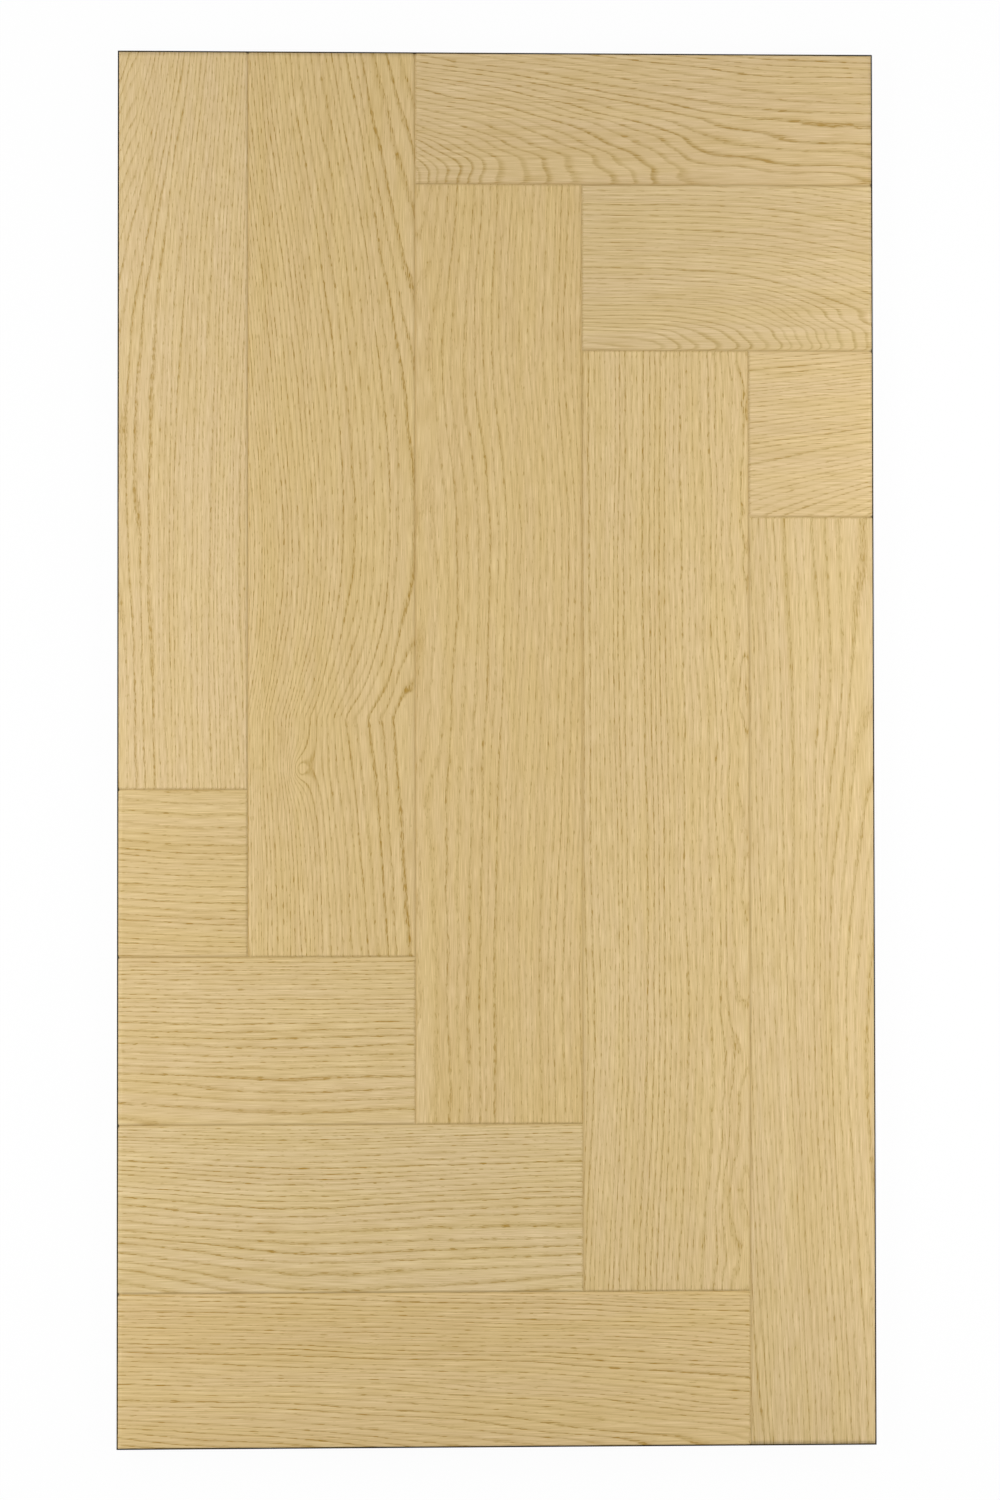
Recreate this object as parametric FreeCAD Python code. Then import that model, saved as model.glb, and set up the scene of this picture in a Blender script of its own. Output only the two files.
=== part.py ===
import FreeCAD, Part
import math
import os

# A sawn panel of oak herringbone parquet: tongued and grooved blocks, laid lengthwise and
# crosswise in turn, cut to a rectangle and edged all round with a thin dark strip.
# Lengths are in millimetres. The panel lies face up on Z = 0, centred on the origin,
# with its head towards +Y and its left side towards -X.

# Parquet block, measured from joint to joint on its face
BLOCK_WIDTH = 126.0
BLOCK_LENGTH = 710.0
BLOCK_THICKNESS = 14.0

# Chamfer along each edge of a block's face; two of them meet in a shallow V groove
BEVEL_WIDTH = 1.25
BEVEL_DEPTH = 0.9

# Tongue along a block's left and head sides, groove along its right and foot sides
TONGUE_REACH = 5.0
TONGUE_THICKNESS = 4.4
TONGUE_HEIGHT_OFF_UNDERSIDE = 4.4
TONGUE_NOSE_CHAMFER = 0.8
GROOVE_SIDE_CLEARANCE = 0.1
GROOVE_END_CLEARANCE = 0.5
UNDERLIP_RELIEF = 0.3

# What the saw leaves of the outermost blocks on the panel's four sides
LEFT_COLUMN_WIDTH = 97.0
RIGHT_COLUMN_WIDTH = 94.0
HEAD_ROW_WIDTH = 98.5
FOOT_ROW_WIDTH = 115.0

# Columns of full width between the two sawn ones
FULL_COLUMNS = 3

# Edging strip, glued to the sawn edges and flush with both faces
EDGING_THICKNESS = 1.0
EDGING_ARRIS_RADIUS = 0.35

# The pattern is set out from the joint between the sawn left column and the first full one
# (X = 0) and from the head end of the second full column (Y = 0). The saw cuts are:
FIELD_LEFT = -LEFT_COLUMN_WIDTH
FIELD_RIGHT = FULL_COLUMNS * BLOCK_WIDTH + RIGHT_COLUMN_WIDTH
FIELD_HEAD = HEAD_ROW_WIDTH
FIELD_FOOT = (2 - FULL_COLUMNS) * BLOCK_WIDTH - BLOCK_LENGTH - FOOT_ROW_WIDTH

FIELD_WIDTH = FIELD_RIGHT - FIELD_LEFT
FIELD_LENGTH = FIELD_HEAD - FIELD_FOOT
PATTERN_TO_PANEL = FreeCAD.Vector(-(FIELD_LEFT + FIELD_RIGHT) / 2, -(FIELD_HEAD + FIELD_FOOT) / 2, 0)


def lengthwise_face(column):
    """Left, right, foot and head of the block that runs lengthwise in this column."""
    left = column * BLOCK_WIDTH
    head = (1 - column) * BLOCK_WIDTH
    return left, left + BLOCK_WIDTH, head - BLOCK_LENGTH, head


def head_crosswise_face(column):
    """The block that lies across the column's head end, with its own left end over that column."""
    left, _, _, foot = lengthwise_face(column)
    return left, left + BLOCK_LENGTH, foot, foot + BLOCK_WIDTH


def foot_crosswise_face(column):
    """The block that lies across the column's foot end, with its own right end under that column."""
    _, right, head, _ = lengthwise_face(column)
    return right - BLOCK_LENGTH, right, head - BLOCK_WIDTH, head


def is_in_field(face):
    """True if the saw leaves some of this block's face on the panel."""
    left, right, foot, head = face
    across = min(right, FIELD_RIGHT) - max(left, FIELD_LEFT)
    along = min(head, FIELD_HEAD) - max(foot, FIELD_FOOT)
    return across > 0 and along > 0


def board_section(span):
    """Outline of a board seen along its edge, as (distance from the tongued side, height) points.

    The face is chamfered at both edges, the tongue stands out below distance 0, and the groove is
    cut into the edge at distance span. The lip under the groove is set back, so that the joint
    closes at the face first.
    """
    tongue_low = TONGUE_HEIGHT_OFF_UNDERSIDE
    tongue_high = tongue_low + TONGUE_THICKNESS
    groove_low = tongue_low - GROOVE_SIDE_CLEARANCE
    groove_high = tongue_high + GROOVE_SIDE_CLEARANCE
    groove_end = span - TONGUE_REACH - GROOVE_END_CLEARANCE
    underlip = span - UNDERLIP_RELIEF
    bevel_foot = BLOCK_THICKNESS - BEVEL_DEPTH
    return [
        (BEVEL_WIDTH, BLOCK_THICKNESS),
        (span - BEVEL_WIDTH, BLOCK_THICKNESS),
        (span, bevel_foot),
        (span, groove_high),
        (groove_end, groove_high),
        (groove_end, groove_low),
        (underlip, groove_low),
        (underlip, 0),
        (0, 0),
        (0, tongue_low),
        (TONGUE_NOSE_CHAMFER - TONGUE_REACH, tongue_low),
        (-TONGUE_REACH, tongue_low + TONGUE_NOSE_CHAMFER),
        (-TONGUE_REACH, tongue_high - TONGUE_NOSE_CHAMFER),
        (TONGUE_NOSE_CHAMFER - TONGUE_REACH, tongue_high),
        (0, tongue_high),
        (0, bevel_foot),
    ]


def extruded(points, direction):
    """Solid made by extruding the closed outline through these points."""
    outline = Part.makePolygon(points + points[:1])
    return Part.Face(outline).extrude(direction)


def whole_block(face):
    """A block as milled: its widthwise section and its lengthwise section, extruded and intersected."""
    left, right, foot, head = face
    across = [FreeCAD.Vector(left + s, foot, z) for s, z in board_section(right - left)]
    along = [FreeCAD.Vector(left - TONGUE_REACH, head - s, z) for s, z in board_section(head - foot)]
    run_along = FreeCAD.Vector(0, head - foot + TONGUE_REACH, 0)
    run_across = FreeCAD.Vector(right - left + TONGUE_REACH, 0, 0)
    return extruded(across, run_along).common(extruded(along, run_across))


def laid_block(face):
    """A block sawn off at the panel's sides and moved from the pattern's origin to the panel's."""
    field = Part.makeBox(
        FIELD_WIDTH, FIELD_LENGTH, BLOCK_THICKNESS, FreeCAD.Vector(FIELD_LEFT, FIELD_FOOT, 0)
    )
    block = whole_block(face).common(field).Solids[0]
    block.translate(PATTERN_TO_PANEL)
    return block


def edging_strip(low_x, low_y, size_x, size_y, inner_sides):
    """A strip of edging; every long or upright arris that isn't on an inner side is rounded."""
    strip = Part.makeBox(size_x, size_y, BLOCK_THICKNESS, FreeCAD.Vector(low_x, low_y, 0))
    radius = min(EDGING_ARRIS_RADIUS, 0.45 * EDGING_THICKNESS)
    hidden = {"left": ("x", low_x), "right": ("x", low_x + size_x),
              "foot": ("y", low_y), "head": ("y", low_y + size_y)}

    def is_outer(edge):
        for side in inner_sides:
            axis, place = hidden[side]
            if all(math.isclose(getattr(v.Point, axis), place, abs_tol=1e-6) for v in edge.Vertexes):
                return False
        return True

    return strip.makeFillet(radius, [edge for edge in strip.Edges if is_outer(edge)])


def edging():
    """Four strips: the head and foot strips span the sawn field, and the side strips cover their ends."""
    half_width = FIELD_WIDTH / 2
    half_length = FIELD_LENGTH / 2
    thick = EDGING_THICKNESS
    outer_length = FIELD_LENGTH + 2 * thick
    return {
        "edging_left": edging_strip(-half_width - thick, -half_length - thick, thick, outer_length, ["right"]),
        "edging_right": edging_strip(half_width, -half_length - thick, thick, outer_length, ["left"]),
        "edging_head": edging_strip(-half_width, half_length, FIELD_WIDTH, thick, ["foot", "left", "right"]),
        "edging_foot": edging_strip(
            -half_width, -half_length - thick, FIELD_WIDTH, thick, ["head", "left", "right"]
        ),
    }


def herringbone():
    """Every block that shows on the panel, by name, numbered from left to right in each family."""
    first = -math.ceil(LEFT_COLUMN_WIDTH / BLOCK_WIDTH)
    last = FULL_COLUMNS + math.ceil(RIGHT_COLUMN_WIDTH / BLOCK_WIDTH)
    families = {
        "lengthwise_block": lengthwise_face,
        "head_crosswise_block": head_crosswise_face,
        "foot_crosswise_block": foot_crosswise_face,
    }
    blocks = {}
    for family, face_of in families.items():
        faces = [face for face in map(face_of, range(first, last)) if is_in_field(face)]
        for number, face in enumerate(faces, start=1):
            blocks[f"{family}_{number}"] = laid_block(face)
    return blocks


def main():
    os.makedirs("parts", exist_ok=True)
    for name, solid in {**herringbone(), **edging()}.items():
        solid.exportStep(f"parts/{name}.step")
        box = solid.BoundBox
        print(f"{name}: {box.XLength:.2f} x {box.YLength:.2f} x {box.ZLength:.2f} mm, {solid.Volume / 1000:.2f} cm3")


main()
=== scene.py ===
# %% [markdown]
# # A panel of herringbone parquet
#
# Twelve oak blocks lie in herringbone, tongue in groove, sawn to a rectangle and edged with a thin dark
# strip. The solids already have the blocks' true sizes and joints. What they lack is the wood: growth
# rings, pores, fibres, the softened arrises along the joints and the matte lacquer. This lesson makes
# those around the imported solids, in the same place and at the same size.

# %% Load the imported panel
import math

import bpy
import numpy as np
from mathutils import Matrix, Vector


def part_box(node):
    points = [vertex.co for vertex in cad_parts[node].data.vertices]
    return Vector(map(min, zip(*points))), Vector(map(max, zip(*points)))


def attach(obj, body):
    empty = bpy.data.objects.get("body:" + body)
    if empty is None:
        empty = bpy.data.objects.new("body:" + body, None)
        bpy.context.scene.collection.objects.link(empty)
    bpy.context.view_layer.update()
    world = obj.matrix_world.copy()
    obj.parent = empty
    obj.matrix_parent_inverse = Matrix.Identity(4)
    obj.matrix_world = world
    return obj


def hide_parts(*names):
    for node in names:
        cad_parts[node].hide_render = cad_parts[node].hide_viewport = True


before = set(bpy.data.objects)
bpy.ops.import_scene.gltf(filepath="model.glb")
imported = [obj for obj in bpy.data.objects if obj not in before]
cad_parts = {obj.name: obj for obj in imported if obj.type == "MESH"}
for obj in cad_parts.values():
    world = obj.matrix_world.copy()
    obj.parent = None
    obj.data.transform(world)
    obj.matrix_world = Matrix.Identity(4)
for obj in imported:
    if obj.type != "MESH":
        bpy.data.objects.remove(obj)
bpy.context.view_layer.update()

MM = 0.001
print("pieces of the packed panel:", ", ".join(sorted(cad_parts)))

# %% [markdown]
# ## Looking down on the panel
#
# The panel lies flat, face up, so the camera hangs above it and looks almost straight down. A long lens
# from more than two and a half metres up keeps the sides of the panel nearly parallel. The small tilts
# leave the panel's left side a little longer than its right one.

# %% Camera
CAMERA_PLACE = (-0.0833, -0.0558, 2.6543)
CAMERA_TILT_DEGREES = (1.167, -1.854, -0.072)
CAMERA_LENS_MM = 84.13

scene = bpy.context.scene
scene.view_settings.view_transform = "Standard"
camera = bpy.data.objects.new("camera", bpy.data.cameras.new("camera"))
camera.data.lens = CAMERA_LENS_MM
camera.location = CAMERA_PLACE
camera.rotation_euler = [math.radians(angle) for angle in CAMERA_TILT_DEGREES]
scene.collection.objects.link(camera)
scene.camera = camera
print(f"camera {camera.location.z:.2f} m above the floor, {CAMERA_LENS_MM} mm lens")

# %% [markdown]
# ## Helpers for shader nodes
#
# Every finish below is a small tree of shader nodes. One helper adds a node, with its settings and its
# inputs in a single call, and another does sums on sockets. An input is either a plain value or the
# output of an earlier node, which is then linked. Two more turn a colour as seen on screen into linear
# light and start an empty material.

# %% Node helpers


def add_node(tree, kind, inputs=None, **settings):
    """Adds a node of this kind; its inputs are values to set or output sockets to link."""
    made = tree.nodes.new(kind)
    for name, value in settings.items():
        setattr(made, name, value)
    for socket, value in (inputs or {}).items():
        if isinstance(value, bpy.types.NodeSocket):
            tree.links.new(value, made.inputs[socket])
        else:
            made.inputs[socket].default_value = value
    return made


def maths(tree, operation, *values):
    """Output of a Math node that works on these values or sockets."""
    return add_node(tree, "ShaderNodeMath", dict(enumerate(values)), operation=operation).outputs[0]


def colour(red, green, blue):
    """A colour as seen on screen (0 to 255), in the linear light that Blender reckons with."""
    return tuple(((part / 255 + 0.055) / 1.055) ** 2.4 for part in (red, green, blue)) + (1.0,)


def new_finish(name):
    """An empty material, with its node tree and its output node."""
    material = bpy.data.materials.new(name)
    material.use_nodes = True
    material.node_tree.nodes.clear()
    output = material.node_tree.nodes.new("ShaderNodeOutputMaterial")
    return material, material.node_tree, output


print("middle grey in linear light:", round(colour(128, 128, 128)[0], 3))

# %% [markdown]
# ## Floor and light
#
# A plain white floor lies under the panel. Light that is bright enough to make it white would burn out the
# pale oak, so the floor mostly glows, for the camera and for reflections alone: it looks white, and the
# wood is lit at a plain level. Two broad soft lights at the sides do much of the work. A strong one far
# beyond the head makes the crosswise grooves show a dark and a light half, and a weak one beyond the foot
# lifts that end. Two low strips close to the long sides make them a little brighter than the middle.

# %% Floor
FLOOR_SIZE = 12.0
FLOOR_DROP = 0.2 * MM
FLOOR_GLOW_SHARE = 0.96
FLOOR_WHITE = (0.9, 0.9, 0.9, 1)
WHITE = (1, 1, 1, 1)


def rays_from_the_eye(tree):
    """1 for rays of the camera, of mirrors and of glass, 0 for the rays that carry light."""
    path = add_node(tree, "ShaderNodeLightPath")
    seen = maths(tree, "MAXIMUM", path.outputs["Is Camera Ray"], path.outputs["Is Glossy Ray"])
    return maths(tree, "MAXIMUM", seen, path.outputs["Is Transmission Ray"])


def white_floor():
    """Matte white that glows for the eye alone."""
    material, tree, output = new_finish("white_floor")
    matte = add_node(tree, "ShaderNodeBsdfDiffuse", {"Color": FLOOR_WHITE})
    glow = add_node(tree, "ShaderNodeEmission", {"Color": WHITE, "Strength": 1.0})
    share = maths(tree, "MULTIPLY", rays_from_the_eye(tree), FLOOR_GLOW_SHARE)
    mixed = add_node(tree, "ShaderNodeMixShader", {0: share, 1: matte.outputs[0], 2: glow.outputs[0]})
    tree.links.new(mixed.outputs[0], output.inputs["Surface"])
    return material


floor_mesh = bpy.data.meshes.new("floor")
half = FLOOR_SIZE / 2
corners = [(-half, -half, 0), (half, -half, 0), (half, half, 0), (-half, half, 0)]
floor_mesh.from_pydata(corners, [], [(0, 1, 2, 3)])
floor_mesh.materials.append(white_floor())
floor = bpy.data.objects.new("floor", floor_mesh)
floor.location.z = -FLOOR_DROP
scene.collection.objects.link(floor)
print(f"floor {FLOOR_SIZE:.0f} m square")

# %% World and lights
SKY_STRENGTH = 0.12
# Place, width and height in metres, and watts
LIGHTS = {
    "left_light": ((-1.35, -0.05, 1.0), 1.6, 0.7, 18.6),
    "right_light": ((1.35, -0.05, 1.0), 1.6, 0.7, 12.1),
    "head_light": ((0.0, 3.6, 2.2), 1.6, 0.8, 40.5),
    "foot_light": ((0.0, -2.0, 1.3), 1.6, 0.8, 2.6),
    "low_left_light": ((-0.52, -0.05, 0.22), 1.1, 0.1, 0.29),
    "low_right_light": ((0.52, 0.0, 0.22), 1.1, 0.1, 0.95),
}

world = bpy.data.worlds.new("studio")
scene.world = world
world.use_nodes = True
sky_tree = world.node_tree
sky_tree.nodes.clear()
dim_sky = add_node(sky_tree, "ShaderNodeBackground", {"Color": WHITE, "Strength": SKY_STRENGTH})
seen_sky = add_node(sky_tree, "ShaderNodeBackground", {"Color": WHITE, "Strength": 1.0})
sky = add_node(sky_tree, "ShaderNodeMixShader",
               {0: rays_from_the_eye(sky_tree), 1: dim_sky.outputs[0], 2: seen_sky.outputs[0]})
add_node(sky_tree, "ShaderNodeOutputWorld", {"Surface": sky.outputs[0]})


def soft_light(name, place, width, height, watts):
    """A rectangular light that faces the middle of the panel, level along its width."""
    lamp = bpy.data.lights.new(name, "AREA")
    lamp.shape = "RECTANGLE"
    lamp.size = width
    lamp.size_y = height
    lamp.energy = watts
    light = bpy.data.objects.new(name, lamp)
    light.location = place
    light.rotation_euler = (-light.location).to_track_quat("-Z", "Y").to_euler()
    scene.collection.objects.link(light)
    return light


lights = [soft_light(name, *values) for name, values in LIGHTS.items()]
print("lights:", ", ".join(light.name for light in lights))

# %% [markdown]
# ## Where each block's face lies
#
# A block's solid reaches past its face by the tongue, on its left and head sides. On the panel's outer
# edges the saw has taken tongue and bevel away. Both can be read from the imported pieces: the inner faces
# of the edging show where the saw went, so a side that lies there is a sawn one.

# %% Faces of the blocks
THICKNESS = 14.0
TONGUE_REACH = 5.0
SIDES = ("foot", "right", "head", "left")
SAWN_WITHIN = 0.05

saw_cut = {
    "left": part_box("edging_left")[1].x / MM,
    "right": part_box("edging_right")[0].x / MM,
    "foot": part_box("edging_foot")[1].y / MM,
    "head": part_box("edging_head")[0].y / MM,
}


def block_face(node):
    """The face of a block (mm) and the edge that each of its sides has: tongue, groove or sawn."""
    low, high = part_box(node)
    face = {"left": low.x / MM, "right": high.x / MM, "foot": low.y / MM, "head": high.y / MM}
    edges = {"left": "tongue", "head": "tongue", "right": "groove", "foot": "groove"}
    for side in SIDES:
        if abs(face[side] - saw_cut[side]) < SAWN_WITHIN:
            edges[side] = "sawn"
    face["left"] += TONGUE_REACH if edges["left"] == "tongue" else 0
    face["head"] -= TONGUE_REACH if edges["head"] == "tongue" else 0
    return face, edges


block_names = sorted(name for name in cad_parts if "block" in name)
for name in block_names:
    face, edges = block_face(name)
    print(name, {side: (round(face[side], 2), edges[side]) for side in SIDES})

# %% [markdown]
# ## How a board shows its growth rings
#
# A tree's rings are cylinders round its pith. A sawn board cuts through them, and its figure depends mostly
# on where the pith ran: far to one side gives straight lines, close below the face gives arches, and a
# pith that sinks along the board makes the arches point. So each block gets a listed pith: a few
# stations along its length, each with the pith's place across the block and its depth under the face.
# The ring number of any point of the block is then its distance from the pith, divided by the width of a
# ring. That works inside the block too, so the rings run on over its ends.
#
# Real rings aren't quite round. Slow waves make them wander everywhere, and quicker ones shape the tips and
# flames near the pith, where the saw cuts them flat. A branch leaves a knot that the rings bend round, or
# a crease where they were dragged aside.
#
# Lengths are in millimetres from the middle of the visible face. Across and along are X and Y in a
# lengthwise block, and Y and X in a crosswise one.

# %% Pith of each block
# pith: its stations, each with along, pith across and pith depth
# ring: width of a ring, at RING_REFERENCE_RADIUS from the pith
# narrowing: length outward over which rings get e times narrower, or wider if it is negative
# tips, flames, ragged: how far quick waves carry the rings near the pith
# soft_tips: share of the pores that is missing near the pith
# tone: red, green and blue beside plain oak; contrast: strength of the lines; fibre: stretch of the pores
# crease: its place, how far it drags the rings above and below it, and how far that reaches
# knots: each with across, along, pull, its reach across and its reach along
FIGURES = {
    "lengthwise_block_1": {
        "tone": (1.03, 1.035, 1.07),
        "ring": 3.2,
        "contrast": 0.88,
        "pith": [(-278, -64, 60), (0, -64, 64), (150, -65, 54), (278, -69, 12)],
    },
    "lengthwise_block_2": {
        "tone": (1.0, 0.99, 0.94),
        "ring": 10.4,
        "narrowing": 108,
        "fibre": 1.3,
        "contrast": 1.08,
        "pith": [(-341, 140, 74), (-60, 148, 86), (150, 133, 77), (341, 124, 20)],
        "crease": {
            "across": 19, "along": -161, "above": 40, "below": 60,
            "reach_above": 72, "reach_below": 260,
        },
        "knots": [(-22, -198, 9, 12, 17), (-24, -200, 13, 5, 7)],
    },
    "lengthwise_block_3": {
        "tone": (1.0, 0.985, 0.925),
        "ring": 5.3,
        "flames": 2.2,
        "ragged": 0.5,
        "contrast": 0.82,
        "fibre": 1.2,
        "pith": [
            (-355, -78, 44), (-200, -79, 45), (0, -72, 44),
            (90, -70, 44), (220, -80, 45), (355, -79, 32),
        ],
    },
    "lengthwise_block_4": {
        "tone": (1.015, 1.015, 1.0),
        "ring": 4.2,
        "flames": 2.0,
        "ragged": 0.5,
        "fibre": 1.2,
        "contrast": 0.96,
        "pith": [(-355, 71, 42), (-150, 79, 42), (100, 77, 38), (355, 77, 36)],
    },
    "lengthwise_block_5": {
        "tone": (0.995, 1.0, 1.01),
        "ring": 4.6,
        "contrast": 0.8,
        "fibre": 1.4,
        "pith": [(-350, 102, 42), (0, 80, 52), (120, 70, 67), (240, 60, 79), (350, 52, 81)],
    },
    "head_crosswise_block_1": {
        "tone": (0.98, 0.98, 1.015),
        "ring": 4.0,
        "narrowing": 400,
        "tips": 1.3,
        "soft_tips": 0.65,
        "contrast": 1.08,
        "fibre": 2.0,
        "pith": [(-173, -46, 8), (-60, -46, 54), (60, -46, 74), (173, -47, 79)],
    },
    "head_crosswise_block_2": {
        "tone": (0.975, 0.985, 1.025),
        "ring": 3.4,
        "narrowing": -300,
        "tips": 1.2,
        "soft_tips": 0.65,
        "contrast": 0.8,
        "fibre": 2.0,
        "pith": [(-110, -62, 8), (-40, -62, 14), (30, -62, 31), (110, -62, 59)],
    },
    "head_crosswise_block_3": {
        "tone": (1.0, 1.0, 1.03),
        "ring": 3.4,
        "contrast": 0.82,
        "fibre": 2.0,
        "pith": [(-47, -96, 68), (0, -96, 57), (47, -96, 42)],
    },
    "foot_crosswise_block_1": {
        "tone": (0.985, 0.98, 0.945),
        "ring": 4.8,
        "contrast": 0.98,
        "fibre": 1.6,
        "pith": [(-48, 82, 36), (0, 80, 34), (48, 78, 36)],
    },
    "foot_crosswise_block_2": {
        "tone": (1.0, 1.005, 1.01),
        "ring": 5.6,
        "narrowing": 130,
        "soft_tips": 0.5,
        "contrast": 1.16,
        "fibre": 1.6,
        "pith": [(-111, -80, 42), (0, -80, 48), (111, -80, 47)],
    },
    "foot_crosswise_block_3": {
        "tone": (1.005, 1.025, 1.06),
        "ring": 5.6,
        "narrowing": 130,
        "soft_tips": 0.5,
        "contrast": 1.22,
        "fibre": 1.6,
        "pith": [(-174, -79, 35), (-40, -79, 51), (60, -79, 48), (174, -79, 44)],
    },
    "foot_crosswise_block_4": {
        "tone": (1.01, 1.0, 0.965),
        "ring": 3.4,
        "fibre": 2.0,
        "contrast": 1.12,
        "pith": [(-237, -85, 30), (-80, -85, 42), (80, -85, 55), (237, -85, 69)],
    },
}
print("figured blocks:", len(FIGURES))

# %% Bends in the rings
PITH_REACH = 28.0
CREASE_REACH_ACROSS = 60.0


def smooth_curve(at, places, values):
    """Values at some places, joined by a smooth curve that passes through all of them."""
    slopes = np.gradient(values, places)
    before = np.clip(np.searchsorted(places, at) - 1, 0, len(places) - 2)
    span = places[before + 1] - places[before]
    t = (at - places[before]) / span
    from_value = (1 + 2 * t) * (1 - t) ** 2 * values[before] + t * (1 - t) ** 2 * span * slopes[before]
    to_value = t * t * (3 - 2 * t) * values[before + 1] + t * t * (t - 1) * span * slopes[before + 1]
    return from_value + to_value


def sway(seed, across, along, size_across, size_along, waves=14):
    """Smooth seeded noise, about 1 either way, from long waves with random headings."""
    chance = np.random.default_rng(seed)
    total = np.zeros_like(across)
    for _ in range(waves):
        turn_across, turn_along = chance.normal(size=2) * math.pi
        start = chance.uniform(0, 2 * math.pi)
        total += np.cos(turn_across * across / size_across + turn_along * along / size_along + start)
    return total * math.sqrt(2 / waves)


def crease_shift(crease, across, along):
    """How far the rings are drawn aside where a branch has bent them into a fold across the grain."""
    rise = along - crease["along"]
    above = crease["above"] * np.exp(-np.maximum(rise, 0) / crease["reach_above"])
    left_over = crease["above"] - crease["below"]
    below = left_over + crease["below"] * np.exp(np.minimum(rise, 0) / crease["reach_below"])
    away = np.minimum(across - crease["across"], 0) / CREASE_REACH_ACROSS
    return np.where(rise > 0, above, below) / (1 + away ** 2)


def pith_at(figure, across, along):
    """Where the pith lies across the block and how deep, and how near a point is to it, from 0 to 1."""
    places, pith_across, pith_depth = np.array(figure["pith"], float).T
    centre = smooth_curve(along, places, pith_across)
    if "crease" in figure:
        centre -= crease_shift(figure["crease"], across, along)
    depth = np.sqrt(np.maximum(smooth_curve(along, places, pith_depth ** 2), 0))
    return centre, depth, 1 / (1 + ((across - centre) / PITH_REACH) ** 2)


def near_knot(knot, across, along):
    """How near a point is to a knot, from 0 to 1."""
    knot_across, knot_along, _, reach_across, reach_along = knot
    return 1 / (1 + ((across - knot_across) / reach_across) ** 2 + ((along - knot_along) / reach_along) ** 2)


print("a pith makes itself felt", PITH_REACH, "mm to either side")

# %% Growth rings
RING_REFERENCE_RADIUS = 60.0
RING_NARROWING_LENGTH = 600.0
# Waves that the rings wander in: width and length in the wood, and what is added to the block's seed
WANDERING = {
    "lines": (18, 240, 0),
    "tips": (16, 80, 5),
    "flames": (40, 70, 2),
    "ragged": (4, 14, 3),
    "ripples": (25, 45, 4),
    "course": (60, 320, 1),
}
# How far some of them carry the rings of every block
WANDER_EVERYWHERE = {"lines": 0.6, "ripples": 0.12, "course": 0.9}
# Good and bad years: how far they shift a ring's number, and how fast they come round (radians per ring)
YEARS = [(0.1, 1.9), (0.25, 0.61)]


def ring_numbers(figure, seed, across, along, below):
    """Ring number at each point; below is the depth under the face (mm)."""
    centre, depth, near_pith = pith_at(figure, across, along)
    radius = np.hypot(across - centre, depth + below)
    for knot in figure.get("knots", []):
        pull = knot[2]
        radius -= pull * near_knot(knot, across, along)
    for wave, (width, length, seed_step) in WANDERING.items():
        reach = WANDER_EVERYWHERE.get(wave, 0.0) + figure.get(wave, 0.0) * near_pith
        radius += reach * sway(seed + seed_step, across, along, width, length)
    narrowing = figure.get("narrowing", RING_NARROWING_LENGTH)
    even_rings = narrowing / figure["ring"] * np.exp((radius - RING_REFERENCE_RADIUS) / narrowing)
    rings = even_rings.copy()
    for turn, (shift, pace) in enumerate(YEARS, start=1):
        rings += shift * np.sin(pace * even_rings + turn * seed)
    return rings


print("waves in the rings:", ", ".join(WANDERING))

# %% [markdown]
# ## The shape of a block
#
# The face is a fine net of points, because it carries the rings: a point about every millimetre across
# the grain, and every few along it. Near a joint the net closes up and dips along a softened bevel.
# Brushing has worn the soft early part of each ring a little deeper than the hard late part, so the net
# follows that relief too. Below the face, the net's rim is carried down through the tongue or the groove
# in a few loops, each with as many points as the rim, and strips close the underside.

# %% Section of a block's edges
# Softened bevel: inset from the joint, drop under the face
BEVEL_SECTION = [(0.0, 0.8), (0.5, 0.62), (1.0, 0.32), (1.4, 0.14), (1.8, 0.04), (2.2, 0.0)]
# Loops from the bevel down to the underside: reach beyond the joint line, height
EDGE_SECTIONS = {
    "tongue": [(0, 8.8), (4.2, 8.8), (5, 8.0), (5, 5.2), (4.2, 4.4), (0, 4.4), (0, 0)],
    "groove": [(0, 8.9), (-5.5, 8.9), (-5.5, 8.0), (-5.5, 5.2), (-5.5, 4.3), (-0.3, 4.3), (-0.3, 0)],
    "sawn": [(0, 8.8), (0, 8.4), (0, 8.0), (0, 5.2), (0, 4.8), (0, 4.4), (0, 0)],
}
LEVELS = len(EDGE_SECTIONS["sawn"])


def bevel_drop(face, edges, x, y):
    """How far the softened bevels lower the face at each point."""
    insets, drops = np.array(BEVEL_SECTION).T
    distance = {"left": x - face["left"], "right": face["right"] - x,
                "foot": y - face["foot"], "head": face["head"] - y}
    lowest = np.zeros_like(x)
    for side in SIDES:
        if edges[side] != "sawn":
            lowest = np.maximum(lowest, np.interp(distance[side], insets, drops))
    return lowest


def edge_loop(face, edges, level, shares):
    """Points of one loop round the block, counter-clockwise from its left foot corner."""
    reach = {side: EDGE_SECTIONS[edges[side]][level][0] for side in SIDES}
    height = {side: EDGE_SECTIONS[edges[side]][level][1] for side in SIDES}
    left = face["left"] - reach["left"]
    right = face["right"] + reach["right"]
    foot = face["foot"] - reach["foot"]
    head = face["head"] + reach["head"]
    turns = np.array([(left, foot), (right, foot), (right, head), (left, head), (left, foot)])
    loop = []
    for turn, side in enumerate(SIDES):
        x, y = (turns[turn] + np.outer(shares[side], turns[turn + 1] - turns[turn])).T
        z = np.full_like(x, height[side])
        if edges[side] == "sawn":
            z[0] = height[SIDES[turn - 1]]
        loop.append(np.stack([x, y, z], axis=1))
    return np.concatenate(loop)


print("levels under the face:", LEVELS)

# %% Net of a block's face
NET_ACROSS_GRAIN = 0.95
NET_ALONG_GRAIN = 3.6


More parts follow.
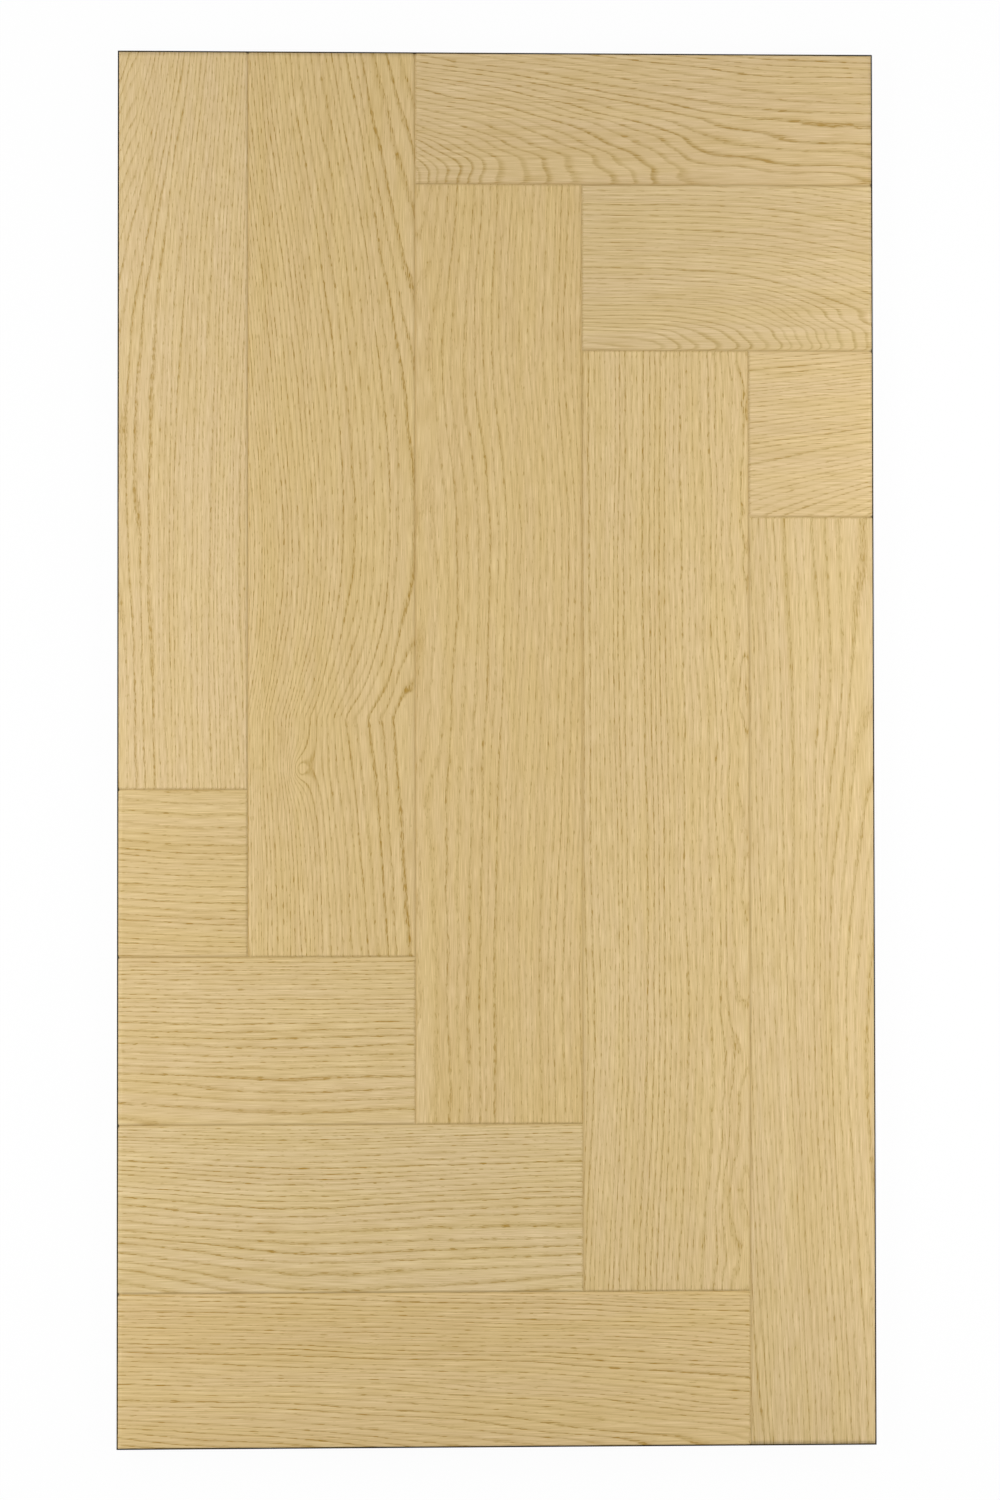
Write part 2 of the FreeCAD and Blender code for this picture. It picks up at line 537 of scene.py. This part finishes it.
def net_lines(start, end, start_edge, end_edge, spacing):
    """Places of the net's lines from one side of a face to the other."""
    bevel_insets = np.array([inset for inset, _ in BEVEL_SECTION])
    at_start = bevel_insets[:1] if start_edge == "sawn" else bevel_insets
    at_end = bevel_insets[:1] if end_edge == "sawn" else bevel_insets
    inner_start = start + at_start[-1]
    inner_end = end - at_end[-1]
    count = round((inner_end - inner_start) / spacing) + 1
    middle = np.linspace(inner_start, inner_end, count)
    return np.concatenate([start + at_start[:-1], middle, end - at_end[:-1][::-1]])


def face_net(name, face, edges):
    """Places of the net's lines across and along the panel, closer together across the grain."""
    spacing_x, spacing_y = NET_ALONG_GRAIN, NET_ACROSS_GRAIN
    if name.startswith("lengthwise"):
        spacing_x, spacing_y = NET_ACROSS_GRAIN, NET_ALONG_GRAIN
    xs = net_lines(face["left"], face["right"], edges["left"], edges["right"], spacing_x)
    ys = net_lines(face["foot"], face["head"], edges["foot"], edges["head"], spacing_y)
    return xs, ys


def rim_sides(numbers):
    """The rim of a net of point numbers, side by side, counter-clockwise from its left foot corner."""
    return [numbers[0, :-1], numbers[:-1, -1], numbers[-1, :0:-1], numbers[:0:-1, 0]]


def underside_strips(rim):
    """Faces that close the underside, each from the left side to the right one."""
    foot, right, head, left = rim
    rights = [*right, head[0]]
    lefts = [foot[0], *left[::-1]]
    strips = [[lefts[0], lefts[1], rights[1], rights[0], *foot[:0:-1]]]
    for step in range(1, len(lefts) - 2):
        strips.append([lefts[step], lefts[step + 1], rights[step + 1], rights[step]])
    strips.append([lefts[-2], lefts[-1], *head[:0:-1], rights[-1], rights[-2]])
    return strips


def block_surface(name):
    """Points (mm) and faces of a block: its net first, then the walls, then the underside."""
    face, edges = block_face(name)
    xs, ys = face_net(name, face, edges)
    net_x, net_y = np.meshgrid(xs, ys)
    numbers = np.arange(net_x.size).reshape(net_x.shape)
    net_z = THICKNESS - bevel_drop(face, edges, net_x, net_y)
    points = [np.stack([net_x, net_y, net_z], axis=2).reshape(-1, 3)]
    low, high = numbers[:-1], numbers[1:]
    net_faces = np.stack([low[:, :-1], low[:, 1:], high[:, 1:], high[:, :-1]], axis=2).reshape(-1, 4)

    share_x = (xs - xs[0]) / (xs[-1] - xs[0])
    share_y = (ys - ys[0]) / (ys[-1] - ys[0])
    shares = {"foot": share_x[:-1], "right": share_y[:-1],
              "head": 1 - share_x[:0:-1], "left": 1 - share_y[:0:-1]}
    rim = rim_sides(numbers)
    upper = np.concatenate(rim)
    walls = []
    for level in range(LEVELS):
        points.append(edge_loop(face, edges, level, shares))
        lower = np.arange(len(upper)) + sum(len(part) for part in points[:-1])
        walls.append(np.stack([lower, np.roll(lower, -1), np.roll(upper, -1), upper], axis=1))
        upper = lower
    ends = np.cumsum([len(part) for part in rim])[:-1]
    strips = underside_strips(np.split(upper, ends))
    return np.concatenate(points), net_faces, np.concatenate(walls), strips


points, net_faces, walls, strips = block_surface("lengthwise_block_3")
print("a whole block:", len(net_faces), "net faces,", len(walls), "wall faces,", len(strips), "strips below")

# %% [markdown]
# ## Oak, bare and lacquered
#
# Oak is ring-porous: each ring starts with a band of wide pores, cut open as short dark dashes along the
# grain, and ends in dense pale wood. The finish reads the ring number of each point. Its fraction says how
# far into the ring the point lies, which gives the dark band that begins sharply and fades. Noise that is
# stretched along the grain frays the band, cuts it into dashes and draws the fibres, and broad soft noise
# drifts between yellow and pinkish wood. Near a knot, and near the pith of some blocks, fewer pores are
# open and the band itself shows more. The lacquer is matte, so the pores show in the gloss as well.

# %% Noise in the wood
# Width and length of its spots (mm)
FRAY_SIZE = (0.8, 5)
PORE_SIZE = (0.75, 5)
FIBRE_SIZE = (0.5, 16)
BAND_SIZE = (9, 260)
DRIFT_SIZE = (14, 80)


def mixed_colour(tree, share, below, above, blend="MIX"):
    """Output of a node that lays one colour over another; a Mix node's colours are its sockets 6 and 7."""
    mix = add_node(tree, "ShaderNodeMix", {0: share, 6: below, 7: above}, data_type="RGBA", blend_type=blend)
    return mix.outputs[2]


def between(tree, value, low, high, to_low=0.0, to_high=1.0):
    """Turns a range of values into another one, eased at both ends."""
    limits = {"Value": value, "From Min": low, "From Max": high, "To Min": to_low, "To Max": to_high}
    return add_node(tree, "ShaderNodeMapRange", limits, interpolation_type="SMOOTHSTEP").outputs[0]


def wood_noise(tree, grain, across, along, detail=1.0):
    """Noise between 0 and 1 whose spots are this wide and this long (mm) in the wood."""
    sizes = (1 / across, 1 / along, 1 / across)
    stretched = add_node(tree, "ShaderNodeVectorMath", {0: grain, 1: sizes}, operation="MULTIPLY")
    noise = add_node(tree, "ShaderNodeTexNoise",
                     {"Vector": stretched.outputs[0], "Scale": 1.0, "Detail": detail, "Roughness": 0.5})
    return noise.outputs[0]


print("pores about", PORE_SIZE[1], "mm long")

# %% Early wood and pores
FRAY_REACH = 0.25
# Shares of a ring over which the dark band begins and fades
EARLY_START = (0.0, 0.12)
EARLY_FADE = (0.15, 0.48)
WEAKEST_RING = 0.6
# Noise above which a pore opens, how much less it takes in early wood, and how soft a pore's edge is
PORES_OPEN_ABOVE = 0.72
EARLY_WOOD_OPENS = 0.22
PORE_EDGE = (-0.03, 0.05)


def early_wood(tree, growth, grain):
    """How much of the dark early wood a point has, from 0 to 1: it begins sharply in each ring and fades."""
    fray = maths(tree, "SUBTRACT", wood_noise(tree, grain, *FRAY_SIZE, detail=2), 0.5)
    frayed = maths(tree, "MULTIPLY_ADD", fray, FRAY_REACH, growth)
    ring_share = maths(tree, "FRACT", frayed)
    ring_number = maths(tree, "FLOOR", frayed)
    ring_draw = add_node(tree, "ShaderNodeTexWhiteNoise", {"W": ring_number}, noise_dimensions="1D")
    start = between(tree, ring_share, *EARLY_START)
    fade = between(tree, ring_share, *EARLY_FADE, 1.0, 0.0)
    strength = between(tree, ring_draw.outputs[0], 0.0, 1.0, WEAKEST_RING, 1.0)
    return maths(tree, "MULTIPLY", maths(tree, "MULTIPLY", start, fade), strength)


def pore_dashes(tree, grain, early):
    """1 in a pore and 0 beside it; pores are dashes along the grain, and most lie in early wood."""
    opens_above = maths(tree, "MULTIPLY_ADD", early, -EARLY_WOOD_OPENS, PORES_OPEN_ABOVE)
    dashes = maths(tree, "SUBTRACT", wood_noise(tree, grain, *PORE_SIZE), opens_above)
    return between(tree, dashes, *PORE_EDGE)


print("the dark band ends", EARLY_FADE[1], "of the way through a ring")

# %% Oak finish
# Share of the pore colour in plain wood, and what the pores, early wood, fibres and bands add to it
PLAIN_SHADE = 0.8
PORE_SHADE = 0.34
EARLY_SHADE = 0.38
EARLY_SHADE_LOST_TO_PORES = 0.16
FIBRE_SHADE = -0.9
BAND_SHADE = -0.28
# Share of the arris colour at a joint, and the noise between yellow and pinkish wood
ARRIS_SHADE = 0.6
DRIFT_RANGE = (0.35, 0.65)
# Height (mm) and roughness
PORE_HEIGHT = -0.06
EARLY_HEIGHT = -0.05
FIBRE_HEIGHT = 0.08
ROUGHER_LINES = 0.12


def point_values(tree):
    """Sockets of the values that a block keeps on its points."""
    outputs = {"growth": "Fac", "grain": "Vector", "arris": "Fac", "tone": "Color", "contrast": "Fac",
               "pore_share": "Fac"}
    return {name: add_node(tree, "ShaderNodeAttribute", attribute_name=name).outputs[output]
            for name, output in outputs.items()}


def oak_shade(tree, values, early, pores, fibres):
    """Share of the pore colour at each point."""
    open_pores = maths(tree, "MULTIPLY", pores, values["pore_share"])
    early_shade = maths(tree, "MULTIPLY_ADD", values["pore_share"], -EARLY_SHADE_LOST_TO_PORES, EARLY_SHADE)
    lines = maths(tree, "MULTIPLY_ADD", open_pores, PORE_SHADE, maths(tree, "MULTIPLY", early, early_shade))
    shade = maths(tree, "MULTIPLY_ADD", lines, values["contrast"], PLAIN_SHADE)
    shade = maths(tree, "MULTIPLY_ADD", fibres, FIBRE_SHADE, shade)
    bands = maths(tree, "SUBTRACT", wood_noise(tree, values["grain"], *BAND_SIZE, detail=2), 0.5)
    return maths(tree, "MULTIPLY_ADD", bands, BAND_SHADE, shade)


def oak(name, colours, gloss_roughness, specular):
    """Oak with these colours: yellow and pinkish pale wood, pores, and a darker brown in the bevels."""
    material, tree, output = new_finish(name)
    values = point_values(tree)
    early = early_wood(tree, values["growth"], values["grain"])
    pores = pore_dashes(tree, values["grain"], early)
    fibres = wood_noise(tree, values["grain"], *FIBRE_SIZE)
    drift = between(tree, wood_noise(tree, values["grain"], *DRIFT_SIZE, detail=2), *DRIFT_RANGE)

    pale = mixed_colour(tree, drift, colours["yellow"], colours["pink"])
    wood = mixed_colour(tree, oak_shade(tree, values, early, pores, fibres), pale, colours["pore"])
    wood = mixed_colour(tree, maths(tree, "MULTIPLY", values["arris"], ARRIS_SHADE), wood, colours["arris"])
    wood = mixed_colour(tree, 1.0, wood, values["tone"], blend="MULTIPLY")

    height = maths(tree, "MULTIPLY_ADD", pores, PORE_HEIGHT, maths(tree, "MULTIPLY", early, EARLY_HEIGHT))
    height = maths(tree, "MULTIPLY_ADD", fibres, FIBRE_HEIGHT, height)
    bump = add_node(tree, "ShaderNodeBump", {"Strength": 1.0, "Distance": MM, "Height": height})
    roughness = maths(tree, "MULTIPLY_ADD", early, ROUGHER_LINES, gloss_roughness)
    roughness = maths(tree, "MULTIPLY_ADD", pores, ROUGHER_LINES, roughness)
    surface = add_node(tree, "ShaderNodeBsdfPrincipled",
                       {"Base Color": wood, "Roughness": roughness, "Specular IOR Level": specular,
                        "Normal": bump.outputs[0]})
    tree.links.new(surface.outputs[0], output.inputs["Surface"])
    return material


lacquered_oak = oak(
    "lacquered_oak",
    {"yellow": colour(238, 214, 163), "pink": colour(239, 215, 169), "pore": colour(174, 137, 58),
     "arris": colour(186, 158, 102)},
    gloss_roughness=0.55,
    specular=0.2,
)
bare_oak = oak(
    "bare_oak",
    {"yellow": colour(226, 203, 158), "pink": colour(228, 205, 166), "pore": colour(154, 126, 70),
     "arris": colour(188, 161, 108)},
    gloss_roughness=0.8,
    specular=0.25,
)
print("finishes:", lacquered_oak.name, bare_oak.name)

# %% [markdown]
# ## Making the blocks
#
# The mesh keeps its grain as values on its points: the ring number, the place in the wood in
# millimetres, how far the point lies into a bevel, the strength of the lines, the share of open pores and
# the tone of this block's tree. No two blocks share a stretch of noise, because each one's place along the
# grain starts far from the others'. The picture that an export bakes needs a flat map too. Here the face
# takes up most of it, stretched to a square, and the walls and the underside share a strip below, because
# few will look there.

# %% Grain on a block's points
RELIEF_DEPTH = 0.03
RELIEF_LOWEST_AT = 0.22
APART_IN_THE_WOOD = 2000.0
SEED_STEP = 10
SEED_START = 3
KNOT_CLOSES_PORES = 0.75


def grain_of(name, points):
    """Ring number, contrast, share of open pores and place in the wood (across, along, below) of points."""
    face, _ = block_face(name)
    x = points[:, 0] - (face["left"] + face["right"]) / 2
    y = points[:, 1] - (face["foot"] + face["head"]) / 2
    across, along = (x, y) if name.startswith("lengthwise") else (y, x)
    below = THICKNESS - points[:, 2]
    order = list(FIGURES).index(name)
    figure = FIGURES[name]
    rings = ring_numbers(figure, SEED_STEP * order + SEED_START, across, along, below)
    near_pith = pith_at(figure, across, along)[2]
    contrast = np.full_like(rings, figure["contrast"])
    pore_share = 1 - figure.get("soft_tips", 0.0) * near_pith
    for knot in figure.get("knots", []):
        pore_share *= 1 - KNOT_CLOSES_PORES * near_knot(knot, across, along)
    place = np.stack([across, along / figure.get("fibre", 1.0) + APART_IN_THE_WOOD * order, below], axis=1)
    return rings, contrast, pore_share, place


def worn_relief(rings):
    """How deep brushing has worn the wood: deepest in the early part of a ring."""
    return RELIEF_DEPTH * (0.5 + 0.5 * np.cos(2 * math.pi * (rings - RELIEF_LOWEST_AT)))


print("relief", RELIEF_DEPTH, "mm deep")

# %% Flat map of a block
MAP_MARGIN = 0.01
FACE_MAP_FOOT = 0.14
UNDERSIDE_MAP = (0.07, 0.13)
WALL_MAP = (0.01, 0.06)


def spread(values, low, high):
    """Values brought from their own range to another one."""
    return low + (values - values.min()) / np.ptp(values) * (high - low)


def flat_map(points, net_faces, walls, strips):
    """Place on the flat map of every corner of every face, in the order of the faces."""
    across = spread(points[:, 0], MAP_MARGIN, 1 - MAP_MARGIN)
    on_face = np.stack([across, spread(points[:, 1], FACE_MAP_FOOT, 1 - MAP_MARGIN)], axis=1)
    below = np.stack([across, spread(points[:, 1], *UNDERSIDE_MAP)], axis=1)
    count = len(walls) // LEVELS
    start = spread(np.tile(np.arange(count), LEVELS), MAP_MARGIN, 1 - 2 * MAP_MARGIN)
    step = start[1] - start[0]
    top = spread(np.repeat(np.arange(LEVELS, 0, -1), count), *WALL_MAP)
    fall = (WALL_MAP[1] - WALL_MAP[0]) / LEVELS
    end = start + step
    wall_corners = np.stack([start, top - fall, end, top - fall, end, top, start, top], axis=1)
    strip_corners = np.concatenate([below[strip] for strip in strips])
    return np.concatenate([on_face[net_faces].reshape(-1, 2), wall_corners.reshape(-1, 2), strip_corners])


print("the face takes", round(100 * (1 - FACE_MAP_FOOT)), "% of the map")

# %% Blocks


def write_attribute(mesh, name, kind, field, values):
    """Writes one value for each point of a mesh."""
    mesh.attributes.new(name, kind, "POINT").data.foreach_set(field, np.asarray(values, np.float32).ravel())


def make_block(name):
    """A block in place of its plain solid."""
    points, net_faces, walls, strips = block_surface(name)
    rings, contrast, pore_share, place = grain_of(name, points)
    in_net = np.arange(len(points)) <= net_faces.max()
    drop = np.where(in_net, place[:, 2], 0)
    is_level = in_net & (drop == 0)
    points[is_level, 2] -= worn_relief(rings[is_level])

    mesh = bpy.data.meshes.new(name)
    mesh.from_pydata(points * MM, [], [*net_faces.tolist(), *walls.tolist(), *strips])
    write_attribute(mesh, "growth", "FLOAT", "value", rings)
    write_attribute(mesh, "grain", "FLOAT_VECTOR", "vector", place)
    write_attribute(mesh, "arris", "FLOAT", "value", drop / BEVEL_SECTION[0][1])
    write_attribute(mesh, "contrast", "FLOAT", "value", contrast)
    write_attribute(mesh, "pore_share", "FLOAT", "value", pore_share)
    tone = np.tile(FIGURES[name]["tone"], (len(points), 1))
    write_attribute(mesh, "tone", "FLOAT_VECTOR", "vector", tone)
    bake_map = mesh.uv_layers.new(name="OFBake")
    bake_map.data.foreach_set("uv", flat_map(points, net_faces, walls, strips).astype(np.float32).ravel())
    on_net = np.arange(len(mesh.polygons)) < len(net_faces)
    mesh.polygons.foreach_set("use_smooth", on_net)
    mesh.materials.append(lacquered_oak)
    mesh.materials.append(bare_oak)
    mesh.polygons.foreach_set("material_index", np.where(on_net, 0, 1).astype(np.int32))

    block = bpy.data.objects.new("oak_" + name, mesh)
    scene.collection.objects.link(block)
    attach(block, "root")
    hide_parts(name)
    return block


blocks = [make_block(name) for name in block_names]
for block in blocks:
    print(block.name, len(block.data.polygons), "faces")

# %% [markdown]
# ## The edging
#
# The edging's solids already have their true shape, with rounded outer arrises, so they stay. They only
# need a finish: a dark brown plastic strip, fairly matte, with the faint mottling of a moulded film.

# %% Edging finish
MOTTLE_SCALE = 260.0
MOTTLE_DETAIL = 3.0
MOTTLE_RANGE = (0.3, 0.7)
EDGING_ROUGHNESS = (0.42, 0.55)


def dark_edging():
    """Matte dark brown plastic."""
    material, tree, output = new_finish("dark_edging")
    place = add_node(tree, "ShaderNodeTexCoord").outputs["Object"]
    mottle = add_node(tree, "ShaderNodeTexNoise",
                      {"Vector": place, "Scale": MOTTLE_SCALE, "Detail": MOTTLE_DETAIL}).outputs[0]
    shade = mixed_colour(tree, between(tree, mottle, *MOTTLE_RANGE), colour(28, 24, 19), colour(38, 32, 26))
    roughness = between(tree, mottle, *MOTTLE_RANGE, *EDGING_ROUGHNESS)
    bump = add_node(tree, "ShaderNodeBump", {"Strength": 0.4, "Distance": 0.1 * MM, "Height": mottle})
    surface = add_node(tree, "ShaderNodeBsdfPrincipled",
                       {"Base Color": shade, "Roughness": roughness, "Specular IOR Level": 0.1,
                        "Normal": bump.outputs[0]})
    tree.links.new(surface.outputs[0], output.inputs["Surface"])
    return material


edging_finish = dark_edging()
for name in sorted(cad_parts):
    if name.startswith("edging"):
        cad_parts[name].data.materials.clear()
        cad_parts[name].data.materials.append(edging_finish)
        print(name, "finished")
